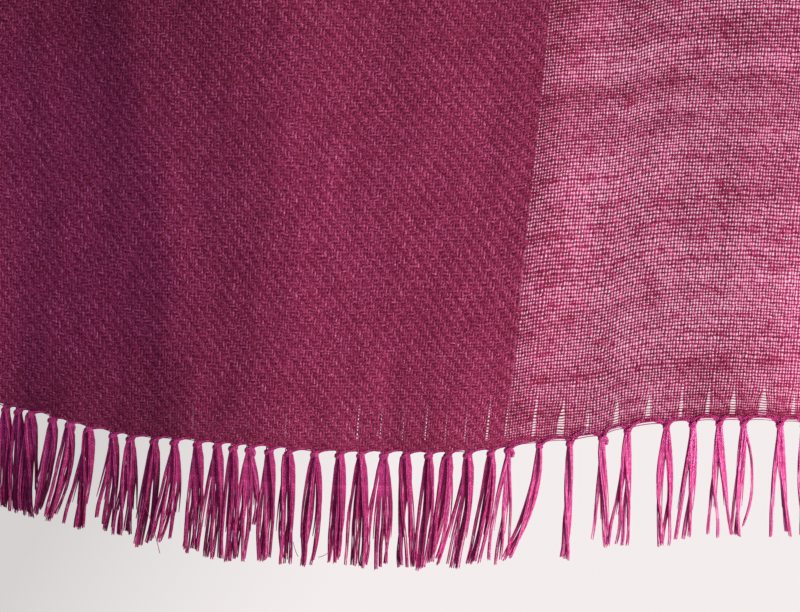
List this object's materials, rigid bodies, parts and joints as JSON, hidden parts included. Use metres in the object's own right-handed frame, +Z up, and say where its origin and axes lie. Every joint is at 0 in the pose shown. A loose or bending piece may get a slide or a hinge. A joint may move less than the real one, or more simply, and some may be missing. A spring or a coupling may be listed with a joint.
{
  "type": "wool stole on a hanging rail",
  "caption": "Sheer magenta wool stole with knotted fringes, folded lengthwise and hung over a plain wooden rail.",
  "frame": {"origin": "centre of the rail, on its axis and midway along it", "axes": "+Z up, +X along the rail to the viewer's right, the long front fall faces -Y"},
  "size_m": [0.56, 0.0471, 1.5277],
  "materials": {
    "cloth": "open 2/2 wool twill, soft and slightly fuzzy",
    "fringe": "loose two-ply wool yarn",
    "rail": "plain sanded beech"
  },
  "bodies": {
    "root": {"front_fall": "cloth", "front_return": "cloth", "turn_outer": "cloth", "turn_return": "cloth", "back_fall": "cloth", "back_return": "cloth", "front_fringe": "fringe", "back_fringe": "fringe", "rail": "rail"}
  },
  "joints": []
}
